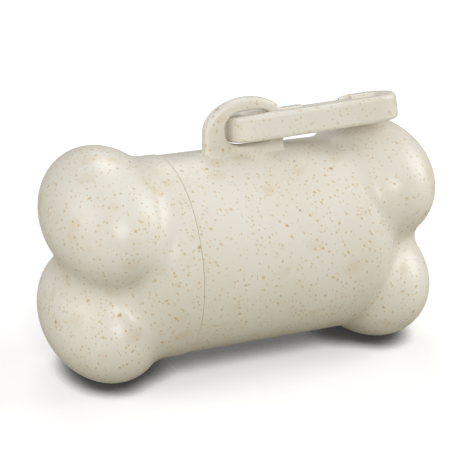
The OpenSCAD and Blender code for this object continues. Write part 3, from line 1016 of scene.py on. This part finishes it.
def ear_end(out, thick, middle_layer):
    """The frame's end at the hinge: two ears, round about the pivot, and
    between them a hollow that clears the gate's knuckle."""
    width = limb_half_w - fallen_back(clip_half_t - np.abs(thick), limb_round)
    if middle_layer:
        return -pivot_u + np.sqrt((limb_half_w + gate_room) ** 2 - out ** 2) + 0 * thick
    ear = np.sqrt(np.maximum(width ** 2 - out ** 2, 0))
    return -pivot_u - ear * filled_out(thick, 1.0)


def lip_end(out, thick, inner_side):
    """The frame's end at the latch: the nose, and the lip outside the gate's
    tip."""
    return ring_end - (nose_u if inner_side else nose_u - lap_len) + 0 * (out + thick)


frame_stations = crowded(
    -pivot_u - limb_half_w, ring_end - nose_u + lap_len,
    [(-pivot_u - limb_half_w, -pivot_u + limb_half_w + gate_room),
     (-thin_from, -thin_from + thin_ramp),
     (ring_end - nose_u, ring_end - nose_u + lap_len), (0, small_arc),
     (ring_end - straight - big_arc, ring_end - straight)], ring_steps)
clip_ring = moulded_piece(
    "clip_ring", limb_grids(clip_half_t, ear_slot, lap_v, frame_stations, 1,
                            ear_end, lip_end, thinned),
    "clip", ["clip_frame"], crease=32.0)
clip_plastic = straw_plastic("clip_straw_plastic", speckle=0.8, bump=0.4)
clip_ring.data.materials.append(clip_plastic)


# ---- The clip's gate ---------------------------------------------------------
# The bar that closes the ring, of the same plastic. Its knuckle sits between
# the ears and turns on two stub pins moulded on it, and its stepped tip rests
# behind the frame's lip.

gate_half_t = 0.00175
pin_r = 0.0010
pin_half = 0.00175
pin_steps, gate_steps = 49, 40


def knuckle_end(out, thick, middle_layer):
    """The gate's end at the hinge: the round knuckle in the middle, and
    hollows beside it that clear the ears."""
    if middle_layer:
        return pivot_u - np.sqrt(np.maximum(limb_half_w ** 2 - out ** 2, 0)) + 0 * thick
    return pivot_u + np.sqrt((limb_half_w + gate_room) ** 2 - out ** 2) + 0 * thick


def tip_end(out, thick, inner_side):
    """The gate's tip: its inner half passes behind the lip."""
    reach = nose_u - gate_room
    return (reach if inner_side else reach - lap_len) + 0 * (out + thick)


gate_stations = crowded(
    pivot_u - limb_half_w, nose_u,
    [(pivot_u - limb_half_w, pivot_u + limb_half_w + gate_room),
     (nose_u - lap_len - gate_room, nose_u)], gate_steps)
pin_angle = np.linspace(0, 2 * np.pi, pin_steps)
pin_profile = rounded([(0, -pin_half), (pin_r, -pin_half), (pin_r, pin_half),
                       (0, pin_half)], edge_break)
pin_grid = clip_point(-pivot_u - pin_profile[:, :1] * np.cos(pin_angle),
                      pin_profile[:, :1] * np.sin(pin_angle),
                      pin_profile[:, 1:] + 0 * pin_angle)
clip_gate = moulded_piece(
    "clip_gate_bar", limb_grids(gate_half_t, knuckle_t / 2, lap_v - gate_room,
                                gate_stations, -1, knuckle_end, tip_end) + [pin_grid],
    "gate", ["clip_gate"], crease=32.0)
clip_gate.data.materials.append(clip_plastic)


# ---- The roll ----------------------------------------------------------------
# The refill: one long strip of thin film folded in four and wound on a card
# tube, with its end lying on the outermost turn.

roll_r = 0.0148
roll_half = 0.0250
core_r = 0.0080
core_wall = 0.0011
core_half = 0.0252
strip_t = 0.00035
film_inset = 0.0002
film_edge = 0.0007
outer_turn = 0.0020
strip_end = 2.4
ripple_h = 0.00006
ripples_round = 7
ripples_along = 400
turn_steps = 145


def wound_rows(profile):
    """A profile of places along the axis and radii, turned once round the
    axis, while its outer radius falls by the thickness of the wound strip. A
    ripple, the sine of the angle times the cosine of the place, dents it."""
    angle = np.linspace(0, 2 * np.pi, turn_steps)
    radius = profile[:, 1:] - strip_t * angle / (2 * np.pi) * (
        profile[:, 1:] > roll_r - outer_turn)
    ripple = (ripple_h * np.sin(ripples_round * angle)
              * np.cos(profile[:, :1] * ripples_along))
    radius = radius - np.abs(ripple)
    return np.stack([profile[:, :1] + 0 * angle, radius * np.cos(angle + strip_end),
                     radius * np.sin(angle + strip_end)], axis=-1)


film_profile = rounded([(-roll_half, core_r + film_inset), (-roll_half, roll_r),
                        (roll_half, roll_r), (roll_half, core_r + film_inset)],
                       film_edge, steps=7)
film_profile = np.concatenate([film_profile, film_profile[:1]])
edge_rows = wound_rows(film_profile)
film_roll = moulded_piece(
    "film_roll", [on_its_feet(edge_rows),
                  on_its_feet(np.stack([edge_rows[:, 0], edge_rows[:, -1]]))],
    "roll", ["bag_roll"], crease=30.0)


def grained_finish(name, scale, detail, dark, light, bump, height, roughness):
    """A finish with one noise in it, which takes the colour from dark to light
    and raises the surface."""
    finish = bpy.data.materials.new(name)
    finish.use_nodes = True
    tree = finish.node_tree
    surface = tree.nodes["Principled BSDF"]
    place = tree.nodes.new("ShaderNodeTexCoord")
    grain = tree.nodes.new("ShaderNodeTexNoise")
    grain.inputs["Scale"].default_value = scale
    grain.inputs["Detail"].default_value = detail
    relief = tree.nodes.new("ShaderNodeBump")
    relief.inputs["Strength"].default_value = bump
    relief.inputs["Distance"].default_value = height
    tree.links.new(place.outputs["Object"], grain.inputs["Vector"])
    tree.links.new(colour_mix(tree, dark, light, grain.outputs["Fac"]),
                   surface.inputs["Base Color"])
    tree.links.new(grain.outputs["Fac"], relief.inputs["Height"])
    tree.links.new(relief.outputs["Normal"], surface.inputs["Normal"])
    surface.inputs["Roughness"].default_value = roughness
    return finish


film_green = grained_finish(
    "film_green", scale=260, detail=5, dark=(0.10, 0.21, 0.10, 1),
    light=(0.17, 0.30, 0.15, 1), bump=0.6, height=0.0002, roughness=0.35)
film_roll.data.materials.append(film_green)


# ---- The core ----------------------------------------------------------------
# The tube that the strip is wound on: plain brown card, open at both ends. It
# turns on the posts of the body and the cap.

tube_profile = rounded([(0, core_r - core_wall), (-core_half, core_r - core_wall),
                        (-core_half, core_r), (core_half, core_r),
                        (core_half, core_r - core_wall), (0, core_r - core_wall)],
                       edge_break)
card_tube = moulded_piece(
    "card_tube", [on_its_feet(turned_rows(tube_profile[:, 0], tube_profile[:, 1]))],
    "core", ["roll_core"], crease=50.0)

card_brown = grained_finish(
    "card_brown", scale=1500, detail=6, dark=(0.30, 0.19, 0.10, 1),
    light=(0.46, 0.32, 0.19, 1), bump=0.5, height=0.0001, roughness=0.85)
card_tube.data.materials.append(card_brown)
